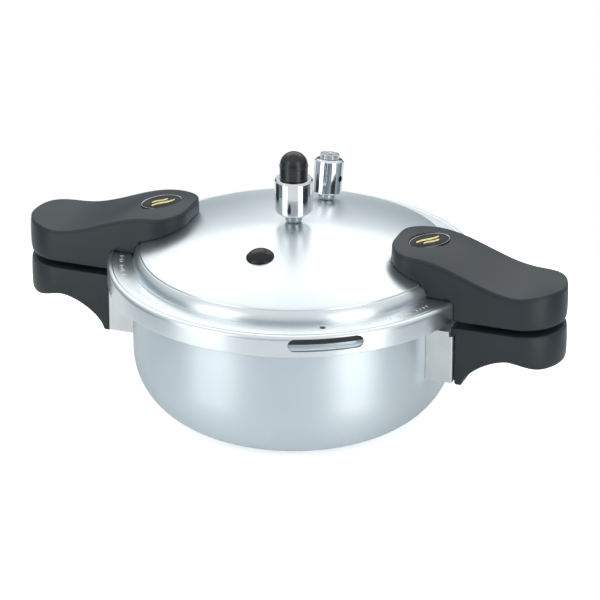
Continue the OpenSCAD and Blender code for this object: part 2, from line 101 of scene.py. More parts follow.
def filleted(corners, steps=4):
    # corners are (x, z, fillet radius); the path is open and keeps its two ends
    path = [corners[0][:2]]
    for before, here, after in zip(corners, corners[1:], corners[2:]):
        corner, radius = Vector(here[:2]), here[2]
        if radius == 0:
            path.append(here[:2])
            continue
        toBefore = (Vector(before[:2]) - corner).normalized()
        toAfter = (Vector(after[:2]) - corner).normalized()
        half = toBefore.angle(toAfter) / 2
        reach = radius / math.tan(half)
        start, end = corner + toBefore * reach, corner + toAfter * reach
        centre = corner + (toBefore + toAfter).normalized() * (radius / math.sin(half))
        fromCentre, turn = start - centre, math.pi - 2 * half
        side = 1 if fromCentre.x * (end - centre).y - fromCentre.y * (end - centre).x > 0 else -1
        for i in range(steps + 1):
            angle = side * turn * i / steps
            path.append((centre.x + fromCentre.x * math.cos(angle) - fromCentre.y * math.sin(angle),
                         centre.y + fromCentre.x * math.sin(angle) + fromCentre.y * math.cos(angle)))
    path.append(corners[-1][:2])
    return path


def follow(start, steps):
    # points given as steps from the start
    return [(start[0] + x, start[1] + z) for x, z in steps]


def band(low, high):
    # closed strip of faces between two loops of points
    after = [(i + 1) % len(low) for i in range(len(low))]
    return [[low[i], low[k], high[k], high[i]] for i, k in enumerate(after)]


def meshPiece(name, verts, faces, smoothDeg=None):
    mesh = bpy.data.meshes.new(name)
    mesh.from_pydata([Vector(v) * millimetre for v in verts], [], faces)
    mesh.validate()
    piece = bpy.data.objects.new(name, mesh)
    bpy.context.scene.collection.objects.link(piece)
    work = bmesh.new()
    work.from_mesh(mesh)
    bmesh.ops.remove_doubles(work, verts=work.verts, dist=0.002 * millimetre)
    bmesh.ops.recalc_face_normals(work, faces=work.faces)
    work.to_mesh(mesh)
    work.free()
    shadeSmooth(piece, smoothDeg)
    return piece


def shadeSmooth(piece, smoothDeg=None):
    for face in piece.data.polygons:
        face.use_smooth = True
    if smoothDeg is not None:
        piece.data.set_sharp_from_angle(angle=math.radians(smoothDeg))


def evenNormals(piece):
    weights = piece.modifiers.new("even", "WEIGHTED_NORMAL")
    weights.keep_sharp = True
    weights.weight = 60


def spin(name, path, segments=192, closed=False, place=None, bulge=None, smoothDeg=None):
    # revolves a path of (radius, height) about the vertical; bulge(index, angle) adds to a radius
    verts, faces, rings = [], [], []
    for index, (radius, height) in enumerate(path):
        if radius < 1e-6:
            rings.append([len(verts)] * segments)
            verts.append(Vector((0, 0, height)))
            continue
        rings.append(list(range(len(verts), len(verts) + segments)))
        for s in range(segments):
            angle = 2 * math.pi * s / segments
            r = radius + (bulge(index, angle) if bulge else 0)
            verts.append(Vector((r * math.cos(angle), r * math.sin(angle), height)))
    pairs = list(zip(rings, rings[1:])) + ([(rings[-1], rings[0])] if closed else [])
    for low, high in pairs:
        for corners in band(low, high):
            face = [c for i, c in enumerate(corners) if c not in corners[:i]]
            if len(face) > 2:
                faces.append(face)
    if place:
        verts = [place @ v for v in verts]
    piece = meshPiece(name, verts, faces, smoothDeg)
    evenNormals(piece)
    return piece


def onDome(angleDeg, radius):
    # a frame on the dome with its own +Z along the dome's normal
    tilt = math.asin(radius / domeCurve)
    centre = moved(0, 0, ledgeZ + domeTop - domeCurve)
    lean = turned(angleDeg) @ Matrix.Rotation(tilt, 4, "Y")
    return centre @ lean @ moved(0, 0, domeCurve)


ventPlace = moved(0, 0, ledgeZ + domeTop)
valvePlace = onDome(lidShape["valveAngle"], lidShape["valveRadius"])
plugPlace = onDome(lidShape["plugAngle"], lidShape["plugRadius"])


def combine(piece, other, operation):
    # applied at once, and the other piece is used up
    step = piece.modifiers.new("combine", "BOOLEAN")
    step.object, step.operation, step.solver = other, operation, "EXACT"
    applyAll(piece)
    bpy.data.objects.remove(other)


def cut(piece, cutter):
    combine(piece, cutter, "DIFFERENCE")


def drill(piece, radius, low, high, place, steps=32):
    cut(piece, prism("drill", oval(radius, radius, steps), low, high, place))


def applyAll(piece):
    graph = bpy.context.evaluated_depsgraph_get()
    graph.update()
    done = bpy.data.meshes.new_from_object(piece.evaluated_get(graph))
    piece.modifiers.clear()
    old, name = piece.data, piece.data.name
    piece.data = done
    bpy.data.meshes.remove(old)
    done.name = name


def prism(name, outline, low, high, place=None):
    # straight prism over an outline of (x, y) points
    count = len(outline)
    verts = [Vector((x, y, z)) for z in (low, high) for x, y in outline]
    if place:
        verts = [place @ v for v in verts]
    faces = [list(range(count)), list(range(count, 2 * count))]
    faces += band(faces[0], faces[1])
    return meshPiece(name, verts, faces)


def oval(a, b, steps=64):
    return [(a * math.cos(2 * math.pi * i / steps), b * math.sin(2 * math.pi * i / steps))
            for i in range(steps)]


def finishPiece(piece, body, slotName, material, *nodes):
    piece.data.materials.clear()
    piece.data.materials.append(material)
    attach(piece, body)
    if nodes:
        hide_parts(*nodes)
    return piece


# materials
def blankMaterial(name):
    material = bpy.data.materials.new(name)
    material.use_nodes = True
    tree = material.node_tree
    return material, tree, tree.nodes["Principled BSDF"]


def link(tree, source, target):
    tree.links.new(source, target)


def mathNode(tree, operation, source, other=None):
    # other is a plain number or a second socket
    made = tree.nodes.new("ShaderNodeMath")
    made.operation = operation
    link(tree, source, made.inputs[0])
    if isinstance(other, float):
        made.inputs[1].default_value = other
    elif other is not None:
        link(tree, other, made.inputs[1])
    return made.outputs[0]


def vectorNode(tree, operation, source, output):
    made = tree.nodes.new("ShaderNodeVectorMath")
    made.operation = operation
    link(tree, source, made.inputs[0])
    return made.outputs[output]


def ringCoordinates(tree, acrossScale, alongScale):
    # distance from the axis and height drive the grain, the angle barely does: concentric spin lines
    split = tree.nodes.new("ShaderNodeSeparateXYZ")
    link(tree, objectCoordinates(tree), split.inputs[0])
    flat = tree.nodes.new("ShaderNodeCombineXYZ")
    link(tree, split.outputs["X"], flat.inputs["X"])
    link(tree, split.outputs["Y"], flat.inputs["Y"])
    length = vectorNode(tree, "LENGTH", flat.outputs[0], "Value")
    bend = tree.nodes.new("ShaderNodeSeparateXYZ")
    link(tree, vectorNode(tree, "NORMALIZE", flat.outputs[0], "Vector"), bend.inputs[0])
    mixed = tree.nodes.new("ShaderNodeCombineXYZ")
    link(tree, mathNode(tree, "MULTIPLY", length, acrossScale), mixed.inputs["X"])
    link(tree, mathNode(tree, "MULTIPLY", split.outputs["Z"], acrossScale), mixed.inputs["Y"])
    link(tree, mathNode(tree, "MULTIPLY", bend.outputs["X"], alongScale), mixed.inputs["Z"])
    return mixed.outputs[0]


def noise(tree, vector, scale, detail, roughness=0.5):
    made = tree.nodes.new("ShaderNodeTexNoise")
    made.inputs["Scale"].default_value = scale
    made.inputs["Detail"].default_value = detail
    made.inputs["Roughness"].default_value = roughness
    link(tree, vector, made.inputs["Vector"])
    return made.outputs["Fac"]


def spread(tree, source, low, high, start=0.0, end=1.0):
    # source runs from start to end while the result runs from low to high
    made = tree.nodes.new("ShaderNodeMapRange")
    made.inputs["From Min"].default_value = start
    made.inputs["From Max"].default_value = end
    made.inputs["To Min"].default_value = low
    made.inputs["To Max"].default_value = high
    link(tree, source, made.inputs["Value"])
    return made.outputs["Result"]


def colourRamp(tree, source, stops):
    made = tree.nodes.new("ShaderNodeValToRGB")
    while len(made.color_ramp.elements) < len(stops):
        made.color_ramp.elements.new(0.5)
    for element, (position, colour) in zip(made.color_ramp.elements, stops):
        element.position, element.color = position, (*colour, 1)
    link(tree, source, made.inputs["Fac"])
    return made.outputs["Color"]


def mixColour(tree, factor, first, second):
    made = tree.nodes.new("ShaderNodeMix")
    made.data_type = "RGBA"
    link(tree, factor, made.inputs["Factor"])
    link(tree, first, made.inputs["A"])
    made.inputs["B"].default_value = (*second, 1)
    return made.outputs["Result"]


def addBump(tree, shader, height, strength, distance):
    bump = tree.nodes.new("ShaderNodeBump")
    bump.inputs["Strength"].default_value = strength
    bump.inputs["Distance"].default_value = distance
    link(tree, height, bump.inputs["Height"])
    link(tree, bump.outputs["Normal"], shader.inputs["Normal"])


def objectCoordinates(tree):
    return tree.nodes.new("ShaderNodeTexCoord").outputs["Object"]


def spunAluminium(name, settings):
    material, tree, shader = blankMaterial(name)
    shader.inputs["Metallic"].default_value = 1
    shader.inputs["Anisotropic"].default_value = settings["anisotropy"]
    shader.inputs["Anisotropic Rotation"].default_value = 0.25
    tangent = tree.nodes.new("ShaderNodeTangent")
    tangent.direction_type, tangent.axis = "RADIAL", "Z"
    link(tree, tangent.outputs[0], shader.inputs["Tangent"])
    rings = ringCoordinates(tree, settings["linesPerMetre"], settings["around"])
    lines = noise(tree, rings, 1.0, 5, 0.65)
    cloud = noise(tree, objectCoordinates(tree), settings["cloudScale"], 3)
    link(tree, colourRamp(tree, cloud, [(0.3, settings["dull"]), (0.7, settings["clear"])]),
         shader.inputs["Base Color"])
    link(tree, spread(tree, lines, settings["smooth"], settings["rough"]), shader.inputs["Roughness"])
    addBump(tree, shader, lines, settings["lineStrength"], settings["lineDepth"])
    return material


def polishedMetal(name, settings):
    material, tree, shader = blankMaterial(name)
    shader.inputs["Metallic"].default_value = 1
    wipe = noise(tree, objectCoordinates(tree), settings["wipeScale"], 4)
    link(tree, colourRamp(tree, wipe, [(0.35, settings["dull"]), (0.65, settings["clear"])]),
         shader.inputs["Base Color"])
    link(tree, spread(tree, wipe, settings["smooth"], settings["rough"]), shader.inputs["Roughness"])
    addBump(tree, shader, wipe, settings["waveStrength"], settings["waveDepth"])
    return material


def mouldedPlastic(name, settings):
    material, tree, shader = blankMaterial(name)
    shader.inputs["Specular IOR Level"].default_value = settings["specular"]
    where = objectCoordinates(tree)
    grain = noise(tree, where, settings["grainScale"], 3)
    cloud = noise(tree, where, settings["cloudScale"], 4)
    link(tree, colourRamp(tree, cloud, [(0.3, settings["dark"]), (0.7, settings["pale"])]),
         shader.inputs["Base Color"])
    link(tree, spread(tree, cloud, settings["smooth"], settings["rough"]), shader.inputs["Roughness"])
    addBump(tree, shader, grain, settings["grainStrength"], settings["grainDepth"])
    return material


lidMetal = spunAluminium("satinLid", {
    "dull": (0.74, 0.80, 0.83), "clear": (0.82, 0.865, 0.885), "smooth": 0.28, "rough": 0.38,
    "anisotropy": 0.6, "linesPerMetre": 1500.0, "around": 2.0, "cloudScale": 9.0,
    "lineStrength": 0.12, "lineDepth": 0.00004})
panMetal = spunAluminium("satinPan", {
    "dull": (0.73, 0.815, 0.87), "clear": (0.80, 0.875, 0.92), "smooth": 0.38, "rough": 0.50,
    "anisotropy": 0.75, "linesPerMetre": 1500.0, "around": 2.0, "cloudScale": 8.0,
    "lineStrength": 0.12, "lineDepth": 0.00004})
bracketMetal = polishedMetal("rolledBracket", {
    "dull": (0.66, 0.69, 0.70), "clear": (0.74, 0.765, 0.775), "smooth": 0.38, "rough": 0.5,
    "wipeScale": 70.0, "waveStrength": 0.05, "waveDepth": 0.00005})
rivetMetal = polishedMetal("rivetAluminium", {
    "dull": (0.74, 0.76, 0.77), "clear": (0.83, 0.84, 0.85), "smooth": 0.2, "rough": 0.34,
    "wipeScale": 200.0, "waveStrength": 0.08, "waveDepth": 0.00003})
chrome = polishedMetal("chromePlate", {
    "dull": (0.80, 0.81, 0.82), "clear": (0.90, 0.905, 0.91), "smooth": 0.03, "rough": 0.09,
    "wipeScale": 60.0, "waveStrength": 0.02, "waveDepth": 0.00005})
steel = polishedMetal("zincSteel", {
    "dull": (0.50, 0.51, 0.53), "clear": (0.62, 0.63, 0.65), "smooth": 0.25, "rough": 0.42,
    "wipeScale": 300.0, "waveStrength": 0.08, "waveDepth": 0.00004})
capSteel = polishedMetal("groundCap", {
    "dull": (0.50, 0.53, 0.56), "clear": (0.68, 0.71, 0.74), "smooth": 0.22, "rough": 0.36,
    "wipeScale": 500.0, "waveStrength": 0.25, "waveDepth": 0.0001})
# chrome with its base colour darkened: painted shade, standing for the dark reflections on the bowls under
# the weight and the valve, and dimming the badge rings
chromeDarkenedForShade = polishedMetal("chromeDarkenedForShade", {
    "dull": (0.34, 0.37, 0.40), "clear": (0.46, 0.49, 0.52), "smooth": 0.08, "rough": 0.14,
    "wipeScale": 120.0, "waveStrength": 0.03, "waveDepth": 0.00004})
gold = polishedMetal("goldInlay", {
    "dull": (0.68, 0.57, 0.20), "clear": (0.86, 0.76, 0.36), "smooth": 0.2, "rough": 0.34,
    "wipeScale": 400.0, "waveStrength": 0.05, "waveDepth": 0.00003})
phenolic = mouldedPlastic("charcoalPhenolic", {
    "dark": (0.018, 0.024, 0.028), "pale": (0.023, 0.031, 0.036), "smooth": 0.36, "rough": 0.46,
    "specular": 0.38, "grainScale": 900.0, "cloudScale": 22.0,
    "grainStrength": 0.12, "grainDepth": 0.00008})
glossBlack = mouldedPlastic("glossBlack", {
    "dark": (0.012, 0.013, 0.014), "pale": (0.018, 0.020, 0.022), "smooth": 0.20, "rough": 0.27,
    "specular": 0.5, "grainScale": 500.0, "cloudScale": 40.0,
    "grainStrength": 0.03, "grainDepth": 0.00004})
plugRubber = mouldedPlastic("plugRubber", {
    "dark": (0.010, 0.010, 0.011), "pale": (0.016, 0.016, 0.017), "smooth": 0.10, "rough": 0.16,
    "specular": 0.3, "grainScale": 300.0, "cloudScale": 60.0,
    "grainStrength": 0.02, "grainDepth": 0.00003})
badgeBlack = mouldedPlastic("badgeBlack", {
    "dark": (0.006, 0.006, 0.007), "pale": (0.010, 0.010, 0.012), "smooth": 0.30, "rough": 0.42,
    "specular": 0.2, "grainScale": 400.0, "cloudScale": 60.0,
    "grainStrength": 0.03, "grainDepth": 0.00003})
gasketRubber = mouldedPlastic("gasketRubber", {
    "dark": (0.018, 0.018, 0.019), "pale": (0.030, 0.030, 0.031), "smooth": 0.5, "rough": 0.64,
    "specular": 0.4, "grainScale": 700.0, "cloudScale": 30.0,
    "grainStrength": 0.2, "grainDepth": 0.0001})
print("materials made")


# pan
panShape = {"wallRadius": 109.5, "wall": 3.0, "base": 4.5, "corner": 46.0, "rimThickness": 4.0,
            "flare": 10.0, "rimRadius": 119.5, "rimUnder": 1.5, "rimOver": 3.0, "rimInner": 4.0,
            "edge": 0.7, "lugReach": 1.7}
lugShape = {"count": 6, "start": 30.0, "arc": 28.0, "ramp": 1.2}     # on the rim and in the skirt alike


def lugProfile(angle, shape=lugShape):
    # 1 on a lug, 0 between lugs, with short ramps
    pitch = 360 / shape["count"]
    away = abs((math.degrees(angle) - shape["start"] + pitch / 2) % pitch - pitch / 2)
    return max(0.0, min(1.0, (shape["arc"] / 2 - away) / shape["ramp"]))


def makePan(shape):
    wallRadius, flare = shape["wallRadius"], shape["flare"]
    rimRadius, edge = shape["rimRadius"], shape["edge"]
    rimTop = nodeBox("pan_body")[1].z
    rimLow = rimTop - shape["rimThickness"]
    corner, inCorner = shape["corner"], shape["corner"] - shape["wall"]
    inner = wallRadius - shape["wall"]
    outside = [(0, 0)] + arc(wallRadius - corner, corner, corner, -90, 0, 30)
    outside += arc(wallRadius + flare, rimLow - flare, flare, 180, 92, 10)
    rim = filleted([(rimRadius - shape["rimUnder"], rimLow, 0), (rimRadius, rimLow, edge),
                    (rimRadius, rimTop, edge), (rimRadius - shape["rimOver"], rimTop, 0)])
    lugFrom = len(outside)
    lugTo = lugFrom + len(rim) - 1
    inside = arc(inner + shape["rimInner"], rimLow, shape["rimInner"], 90, 180, 8)
    inside += arc(inner - inCorner, shape["base"] + inCorner, inCorner, 0, -90, 30) + [(0, shape["base"])]

    def bulge(index, angle):
        return shape["lugReach"] * lugProfile(angle) if lugFrom < index < lugTo else 0.0

    return spin("pan_spun", outside + rim + inside, segments=360, bulge=bulge)


finishPiece(makePan(panShape), "pan", "pan_aluminium", panMetal, "pan_body")
print("pan made")


# lid
skirtShape = {"lugReach": 2.4, "lugThickness": 1.8, "slotAngle": -60.0, "slotLength": 50.0, "slotWidth": 8.6,
              "slotHeight": -6.1, "drainRadius": 2.0, "drainPlace": 112.3, "lip": 0.6, "studHole": 4.2,
              "plugHole": 7.0}


def sphereHeight(radius, inset=0.0):
    return domeTop - domeCurve + math.sqrt((domeCurve - inset) ** 2 - radius ** 2)


def lidOutside(inset):
    # path from the dome's top out to the foot of the skirt, inset below the outer face
    shape = lidShape
    domeEnd = shape["domeRadius"] - (shape["grooveWidth"] / 2 if inset == 0 else inset)
    path = [(domeEnd * i / 40, sphereHeight(domeEnd * i / 40, inset)) for i in range(41)]
    shoulder = shape["shoulderRadius"] - inset
    if inset == 0:
        path += follow(path[-1], shape["domeGroove"])
    startX = shape["domeRadius"] + shape["grooveWidth"] / 2 - inset
    start = math.degrees(math.acos((startX - shape["shoulderX"]) / shoulder))
    end = math.degrees(math.asin((-inset - shape["shoulderZ"]) / shoulder))
    path += arc(shape["shoulderX"], shape["shoulderZ"], shoulder, start, end, 12)
    if inset == 0:
        path += follow((path[-1][0], 0), shape["footRing"])
        path += follow((skirtRadius - shape["edgeRadius"], 0), shape["edgeLine"])
    edge = shape["edgeRadius"] - inset
    path += arc(skirtRadius - shape["edgeRadius"], -shape["edgeRadius"], edge, 90, 0, 8)
    return path


def makeLid(shape):
    low = -lidShape["skirtHeight"]
    outer = lidOutside(0.0)
    inner = lidOutside(lidShape["thickness"])
    innerRadius = skirtRadius - lidShape["thickness"]
    foot = filleted([(skirtRadius, low + 3, 0), (skirtRadius, low, shape["lip"]),
                     (innerRadius, low, shape["lip"]), (innerRadius, low + shape["lugThickness"], 0.3),
                     (innerRadius + 0.01, low + shape["lugThickness"] + 1.2, 0)])
    lugFrom = len(outer) + len(foot) // 2
    lugTo = len(outer) + len(foot) - 2
    path = [(r, z + ledgeZ) for r, z in outer + foot + inner[::-1]]

    def bulge(index, angle):
        return -shape["lugReach"] * lugProfile(angle) if lugFrom <= index <= lugTo else 0.0

    lid = spin("lid_spun", path, segments=360, bulge=bulge)
    turn = turned(shape["slotAngle"])
    half, end = shape["slotLength"] / 2 - shape["slotWidth"] / 2, shape["slotWidth"] / 2
    outline = arc(half, 0, end, -90, 90, 14) + arc(-half, 0, end, 90, 270, 14)
    stand = turn @ moved(skirtRadius, 0, ledgeZ + shape["slotHeight"]) @ turned(90) @ turned(90, "X")
    cut(lid, prism("slotKnife", outline, -8, 8, stand))
    drill(lid, shape["drainRadius"], -6, 6, turn @ moved(shape["drainPlace"], 0, ledgeZ))
    drill(lid, shape["studHole"], -9, 3, ventPlace, 48)
    drill(lid, shape["studHole"], -9, 3, valvePlace, 48)
    drill(lid, shape["plugHole"], -9, 3, plugPlace, 48)
    shadeSmooth(lid, 40)
    evenNormals(lid)
    return lid


finishPiece(makeLid(skirtShape), "lid", "lid_aluminium", lidMetal, "lid_shell")
print("lid made")


# grips
gripPlan = {"halfWidth": 29.3, "end": 191.5, "nose": 73.2, "noseCorner": 21.0}
lidGripShape = {"bottom": -15.0, "noseHeight": 26.0, "tailHeight": 7.9, "waistStart": 92.0,
                "waistEnd": 168.0, "tailStart": 162.0, "tailRise": 5.2, "crown": 3.4, "dish": 3.2,
                "topEdge": 1.4, "bottomEdge": 2.0, "line": 0.35, "lineTop": 0.25, "lineFoot": 0.75,
                "lineEnd": 1.1, "belly": 0.5, "clearance": 0.3}
panGripShape = {"top": -19.3, "leg": -60.8, "inner": 123.5, "arcStart": 128.5, "arcEnd": 160.0,
                "arcPower": 1.55, "arcTop": -39.2, "tailDrop": 4.9, "topEdge": 1.6, "bottomEdge": 2.4,
                "corner": 1.6, "line": 0, "belly": 0.4, "lip": 2.4, "lipBottom": -24.3,
                "lipInset": 0.7, "lipCorner": 0.6, "lipDrop": 0.5}


def ease(t):
    t = max(0.0, min(1.0, t))
    return (1 - math.cos(math.pi * t)) / 2


def endPoint(centreX, halfFlat, radius, sideDeg, blend, s):
    # a point of an end row: straight across where blend is 0, along the outline where blend is 1
    side = math.radians(sideDeg)
    sideX, sideY = centreX + radius * math.cos(side), halfFlat + radius * math.sin(side)
    total = halfFlat + radius * side
    run = abs(s) * total
    sign = 1 if s >= 0 else -1
    if run <= halfFlat:
        curved = (centreX + radius, sign * run)
    else:
        angle = (run - halfFlat) / radius
        curved = (centreX + radius * math.cos(angle), sign * (halfFlat + radius * math.sin(angle)))
    straight = (sideX, s * sideY)
    return tuple(a + (b - a) * blend for a, b in zip(straight, curved))


def gripRows(plan, start, startCorner, straightXs, inset, endSteps=10, across=24):
    # rows of points that fill the outline seen from above, from the start to the outer end
    half = plan["halfWidth"] - inset
    steps = [-1 + 2 * j / across for j in range(across + 1)]
    rows = []
    startCentre, startRadius = start + startCorner, startCorner - inset
    startFlat = plan["halfWidth"] - startCorner
    blends = [(i + 1) / endSteps for i in range(endSteps)]
    for blend in reversed(blends):
        row = [endPoint(0, startFlat, startRadius, 90 - 45 * blend, blend, s) for s in steps]
        rows.append([(startCentre - x, y) for x, y in row])
    for x in straightXs:
        rows.append([(x, s * half) for s in steps])
    endCentre = plan["end"] - plan["halfWidth"]
    for blend in blends:
        rows.append([endPoint(endCentre, 0, half, 90 - 45 * blend, blend, s) for s in steps])
    return rows


def gripSolid(name, plan, start, startCorner, straightXs, layers, topHeight, bottomHeight):
    # layers run down the side: (inset, share of the way from top to bottom, offset)
    verts, faces = [], []

    def grid(inset, height):
        ids = []
        for row in gripRows(plan, start, startCorner, straightXs, inset):
            ids.append(list(range(len(verts), len(verts) + len(row))))
            verts.extend((x, y, height(x, y)) for x, y in row)
        for a, b in zip(ids, ids[1:]):
            faces.extend([a[j], a[j + 1], b[j + 1], b[j]] for j in range(len(a) - 1))
        return ids

    def rim(rows):
        return rows[0] + [r[-1] for r in rows[1:-1]] + rows[-1][::-1] + [r[0] for r in rows[-2:0:-1]]

    loop = rim(grid(layers[0][0], topHeight))
    for inset, share, offset in layers[1:-1]:
        flat = rim(gripRows(plan, start, startCorner, straightXs, inset))
        below = list(range(len(verts), len(verts) + len(flat)))
        for x, y in flat:
            high, low = topHeight(x, y), bottomHeight(x, y)
            verts.append((x, y, high + (low - high) * share + offset))
        faces.extend(band(loop, below))
        loop = below
    faces.extend(band(loop, rim(grid(layers[-1][0], bottomHeight))))
    return meshPiece(name, [(x, y, z + ledgeZ) for x, y, z in verts], faces)


def sideLayers(shape):
    # rounded top edge, a fine line under it, a slightly full side, rounded bottom edge
    top, low, line, belly = shape["topEdge"], shape["bottomEdge"], shape["line"], shape["belly"]
    layers = [(top + belly, 0, 0)]
    for i in range(1, 6):
        angle = math.radians(18 * i)
        layers.append((top * (1 - math.sin(angle)) + belly, 0, -top * (1 - math.cos(angle))))
    if line:
        layers += [(belly + line, 0, -top - shape["lineTop"]), (belly + line, 0, -top - shape["lineFoot"]),
                   (belly * 0.9, 0, -top - shape["lineEnd"])]
    for i in range(1, 8):
        share = i / 8
        layers.append((belly * (2 * share - 1) ** 2, share, 0))
    for i in range(0, 6):
        angle = math.radians(18 * i)
        layers.append((low * (1 - math.cos(angle)) + belly, 1, low * (1 - math.sin(angle))))
    return layers


def lidGripTop(x, y):
    shape = lidGripShape
    fall = ease((x - shape["waistStart"]) / (shape["waistEnd"] - shape["waistStart"]))
    rise = max(0.0, (x - shape["tailStart"]) / (gripPlan["end"] - shape["tailStart"])) ** 2
    bow = 1 - (y / gripPlan["halfWidth"]) ** 2
    drop = (shape["noseHeight"] - shape["tailHeight"]) * fall
    crease = shape["noseHeight"] - drop + shape["tailRise"] * rise
    return crease + bow * (shape["crown"] * (1 - fall) - shape["dish"] * rise * bow)


def panGripBottom(x, y):
    shape = panGripShape
    if x <= shape["arcStart"]:
        return shape["leg"]
    reach = min(1.0, (x - shape["arcStart"]) / (shape["arcEnd"] - shape["arcStart"]))
    power = shape["arcPower"]
    hollow = shape["leg"] + (shape["arcTop"] - shape["leg"]) * (1 - (1 - reach) ** power) ** (1 / power)
    return hollow - shape["tailDrop"] * ease((x - shape["arcEnd"]) / (gripPlan["end"] - 8 - shape["arcEnd"]))


def lidEnvelope(clearance):
    # all that lies under the lid's skin, grown by the clearance, as a cutter
    path = lidOutside(-clearance)
    path = [(r, z + ledgeZ) for r, z in path] + [(skirtRadius + clearance, ledgeZ - 30), (0, ledgeZ - 30)]
    return spin("lidEnvelope", path, segments=256)


def turnPiece(piece, side):
    if side == "left":
        piece.data.transform(Matrix.Rotation(math.pi, 4, "Z"))


badgeShape = {"place": 96.0, "a": 15.4, "b": 10.2, "turn": 56.0, "recess": 2.4, "plate": 1.2, "gap": 0.1,
              "ring": 0.7, "ringRise": 0.2, "mark": 0.25, "sunk": 0.15, "wave": 0.6,
              "swooshes": ((2.0, 19.0, 2.5), (-2.1, 13.0, 2.3))}     # offset, length and width
badgeFloor = ledgeZ + lidGripShape["noseHeight"] + lidGripShape["crown"] - badgeShape["recess"]
badgeTop = badgeFloor + badgeShape["plate"]
badgePlace = moved(badgeShape["place"], 0, 0) @ turned(badgeShape["turn"])
screwShape = {"place": 152.0, "hole": 4.3, "lidDepth": 3.4, "panDepth": -35.5}


def straightRows(start, steps, power=1):
    # places of the rows between the start's corner and the round outer end
    length = gripPlan["end"] - gripPlan["halfWidth"] - start
    return [start + length * (i / steps) ** power for i in range(steps + 1)]


def finishGrip(grip, side, low, high):
    # screw hole from below, shading, and a half turn for the left side
    drill(grip, screwShape["hole"], low, high, moved(screwShape["place"], 0, 0))
    shadeSmooth(grip, 42)
    evenNormals(grip)
    turnPiece(grip, side)
    return grip


def makeLidGrip(side):
    shape, plan = lidGripShape, gripPlan
    straight = straightRows(plan["nose"] + plan["noseCorner"], 26)
    grip = gripSolid("lid_grip_moulding_" + side, plan, plan["nose"], plan["noseCorner"], straight,
                     sideLayers(shape), lidGripTop, lambda x, y: shape["bottom"])
    cut(grip, lidEnvelope(shape["clearance"]))
    outline = oval(badgeShape["a"] + badgeShape["gap"], badgeShape["b"] + badgeShape["gap"])
    cut(grip, prism("badgeKnife", outline, badgeFloor, badgeFloor + 9, badgePlace))
    low = ledgeZ + shape["bottom"]
    return finishGrip(grip, side, low - 2, low + screwShape["lidDepth"])


def makePanGrip(side):
    shape, plan = panGripShape, gripPlan
    inner, corner = shape["inner"], shape["corner"]
    grip = gripSolid("pan_grip_moulding_" + side, plan, inner, corner, straightRows(inner + corner, 44, 1.5),
                     sideLayers(shape), lambda x, y: shape["top"], panGripBottom)
    half, edge = plan["halfWidth"] - shape["lipInset"], shape["lipCorner"]
    tip, end = inner - shape["lip"], inner + corner + 1
    lip = filleted([(tip, -half, edge), (end, -half, 0), (end, half, 0), (tip, half, edge)])
    low, high = ledgeZ + shape["lipBottom"], ledgeZ + shape["top"] - shape["lipDrop"]
    combine(grip, prism("gripLip", lip, low, high), "UNION")
    return finishGrip(grip, side, ledgeZ - 70, ledgeZ + screwShape["panDepth"])


for side in ("left", "right"):
    finishPiece(makeLidGrip(side), "lid", "phenolic", phenolic, "lid_grip_" + side)
    finishPiece(makePanGrip(side), "pan", "phenolic", phenolic, "pan_grip_" + side)
print("grips made")


# badges
def makeBadge(side):
    # oval plate with a thin raised ring, its sections given as inset and height
    shape = badgeShape
    ring, rise, sunk = shape["ring"], shape["ringRise"], shape["sunk"]
    sections = [(0.0, -shape["plate"]), (0.0, -0.1), (0.15, 0.15), (ring * 0.4, rise),
                (ring * 0.8, rise * 0.7), (ring, 0.0), (ring + 0.3, -sunk)]
    verts, faces, rings, count = [], [], [], 72
    for inset, height in sections:
        rings.append(range(len(verts), len(verts) + count))
        verts += [badgePlace @ Vector((x, y, height + badgeTop))
                  for x, y in oval(shape["a"] - inset, shape["b"] - inset, count)]
    for low, high in zip(rings, rings[1:]):
        faces += band(low, high)
    faces += [list(rings[0]), list(rings[-1])]
    plate = meshPiece("badge_plate_" + side, verts, faces, 35)
    turnPiece(plate, side)
    return plate


def makeMark(side):
    # two gold swooshes, one above the other
    shape, verts, faces, steps = badgeShape, [], [], 24
    for centre, length, width in shape["swooshes"]:
        base = len(verts)
        for i in range(steps + 1):
            t = i / steps
            along = (t - 0.5) * length
            wave = shape["wave"] * math.sin(2 * math.pi * t)
            thick = width * (0.4 + 0.6 * math.sin(math.pi * t) ** 0.5) / 2
            for across in (-thick, thick):
                for z in (-0.1, shape["mark"]):
                    spot = Vector((along, centre + wave + across, z + badgeTop - shape["sunk"]))
                    verts.append(badgePlace @ spot)
        for i in range(steps):
            a, b = base + 4 * i, base + 4 * (i + 1)
            faces += [[a, b, b + 1, a + 1], [a + 2, a + 3, b + 3, b + 2], [a + 1, b + 1, b + 3, a + 3],
                      [a, a + 2, b + 2, b]]
        faces += [[base, base + 1, base + 3, base + 2], [base + 4 * steps + k for k in (0, 2, 3, 1)]]
    mark = meshPiece("badge_mark_" + side, verts, faces, 35)
    turnPiece(mark, side)
    return mark


for side in ("left", "right"):
    plate = finishPiece(makeBadge(side), "lid", "badge_black", badgeBlack, "badge_" + side)
    # the ring is dimmed with the darkened chrome, painted shade for its far side
    plate.data.materials.append(chromeDarkenedForShade)         # the raised ring
    for face in plate.data.polygons:
        face.material_index = 1 if face.center.z > (badgeTop + 0.05) * millimetre else 0
    finishPiece(makeMark(side), "lid", "badge_black", gold)
print("badges made")


# small marks on the lid
markShape = {"radius": 116.2, "pitch": 1.55, "rise": 0.18, "root": 0.3, "half": 0.42, "taper": 0.16,
             "groups": ((196, 212), (224, 246), (-49, -22)),
             "lengths": (3.0, 1.6, 3.0, 2.2, 0.0, 2.6, 1.6, 2.6, 3.0, 0.0),     # 0 leaves a gap
             "dotAngle": 216.0, "dotRadius": 1.1, "dotDrop": 11.0, "dotRise": 0.35}


